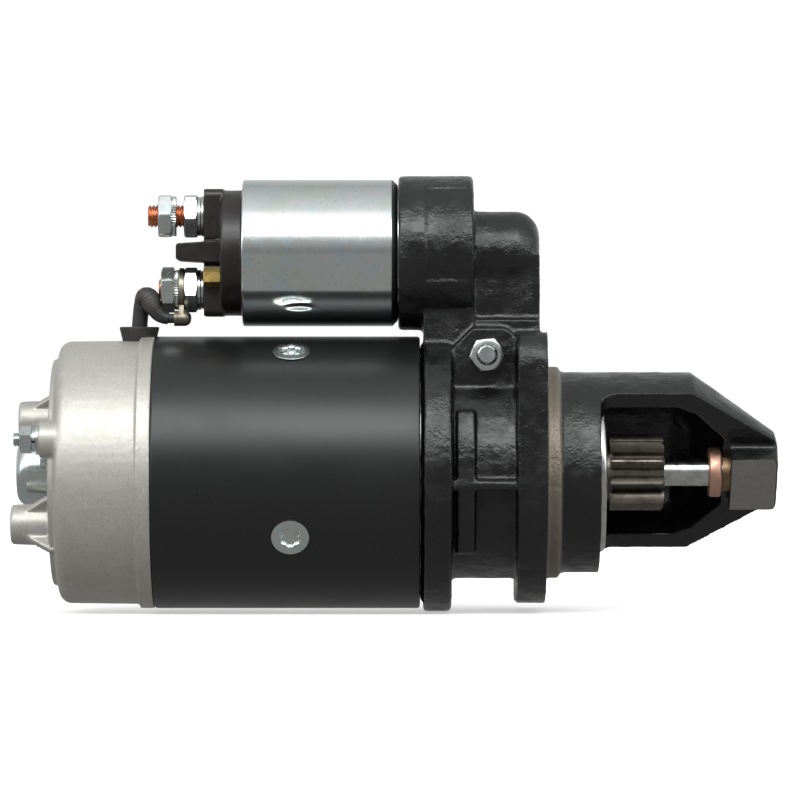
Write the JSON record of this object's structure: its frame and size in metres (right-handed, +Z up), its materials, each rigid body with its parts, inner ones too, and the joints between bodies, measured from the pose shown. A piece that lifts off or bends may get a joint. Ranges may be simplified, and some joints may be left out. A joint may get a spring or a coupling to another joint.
{
  "type": "starter motor",
  "caption": "Pre-engaged starter motor with solenoid, flanged drive end housing, shift lever, roller clutch and pinion in a windowed nose.",
  "frame": {"origin": "centre of the pilot spigot in the plane of the mounting flange's face, on the shaft's axis", "axes": "+X along the shaft from the commutator end to the pinion, +Z up from the shaft to the solenoid"},
  "size_m": [0.3197, 0.1168, 0.1829],
  "materials": {
    "black_paint": "satin black enamel over a drawn steel tube",
    "black_cast_paint": "gloss black enamel over a rough iron casting",
    "cast_aluminium": "fine cast, satin",
    "zinc_plate": "bright zinc plate",
    "bright_steel": "ground and oiled",
    "dark_steel": "hardened, oiled, brownish",
    "spring_steel": "drawn wire",
    "laminated_iron": "stacked sheet",
    "copper": "bare copper",
    "enamelled_copper": "varnished copper wire",
    "brass": "bright",
    "bronze": "sintered bronze",
    "phenolic": "black moulded phenolic, half gloss",
    "rubber": "black moulded rubber",
    "cable_jacket": "black insulation",
    "carbon": "copper-carbon brush"
  },
  "bodies": {
    "housing": {"yoke": "black_paint", "pole_shoes": "laminated_iron", "pole_screws": "zinc_plate", "field_coils": "enamelled_copper", "brush_holder": "zinc_plate", "brushes": "carbon", "brush_springs": "spring_steel", "commutator_end_shield": "cast_aluminium", "rear_bush": "bronze", "bearing_cap": "zinc_plate", "bearing_cap_seal": "rubber", "bearing_cap_screws": "zinc_plate", "through_studs": "zinc_plate", "stud_nuts": "zinc_plate", "stud_lock_washers": "spring_steel", "stud_washers": "zinc_plate", "drive_end_housing": "black_cast_paint", "nose_bush": "bronze", "intermediate_bearing_plate": "bright_steel", "intermediate_bush": "bronze", "pivot_bolt": "zinc_plate", "pivot_nut": "zinc_plate", "solenoid_can": "zinc_plate", "solenoid_core": "bright_steel", "plunger_guide_tube": "brass", "pull_in_winding": "enamelled_copper", "hold_in_winding": "enamelled_copper", "plunger_return_spring": "spring_steel", "solenoid_cap": "phenolic", "switch_terminal": "brass", "battery_stud": "copper", "motor_stud": "copper", "terminal_nuts": "zinc_plate", "terminal_washers": "zinc_plate", "terminal_lock_washers": "zinc_plate", "solenoid_screws": "zinc_plate", "motor_lead": "cable_jacket", "lead_sleeve": "rubber", "lead_terminal": "zinc_plate", "lead_grommet": "rubber"},
    "armature": {"armature_shaft": "bright_steel", "armature_core": "laminated_iron", "armature_winding": "enamelled_copper", "commutator_bars": "copper", "commutator_hub": "phenolic", "shaft_retaining_ring": "spring_steel", "stop_ring": "copper", "snap_ring": "spring_steel"},
    "drive": {"drive_sleeve": "bright_steel", "guide_ring": "phenolic", "meshing_spring": "spring_steel", "clutch_shell": "bright_steel", "clutch_rollers": "bright_steel", "clutch_cover": "bright_steel"},
    "pinion": {"pinion": "dark_steel"},
    "lever": {"shift_lever": "bright_steel"},
    "plunger": {"plunger": "bright_steel"},
    "contact": {"contact_disc": "copper", "contact_rod": "bright_steel"}
  },
  "joints": [
    {"name": "armature_spin", "type": "hinge", "parent": "housing", "child": "armature", "pos_m": [0, 0, 0], "axis": [1, 0, 0], "continuous": true},
    {"name": "plunger_slide", "type": "slide", "parent": "housing", "child": "plunger", "axis": [-1, 0, 0], "range_m": [0, 0.0155], "stiffness_N_per_m": 2500, "springref_m": -0.012, "deforming": ["plunger_return_spring"]},
    {"name": "lever_swing", "type": "hinge", "parent": "housing", "child": "lever", "pos_m": [-0.0248, 0, 0.0491], "axis": [0, -1, 0], "range_deg": [0, 20.84]},
    {"name": "drive_slide", "type": "slide", "parent": "armature", "child": "drive", "axis": [1, 0, 0], "range_m": [0, 0.01776]},
    {"name": "pinion_overrun", "type": "hinge", "parent": "drive", "child": "pinion", "pos_m": [0, 0, 0], "axis": [1, 0, 0], "continuous": true},
    {"name": "contact_slide", "type": "slide", "parent": "housing", "child": "contact", "axis": [-1, 0, 0], "range_m": [0, 0.00301]}
  ],
  "couplings": [
    {"joint": "lever_swing", "follows": "plunger_slide", "rad_per_m": 23.439},
    {"joint": "drive_slide", "follows": "plunger_slide", "ratio": 1.1445},
    {"joint": "contact_slide", "follows": "plunger_slide", "ratio": 0.19355}
  ]
}
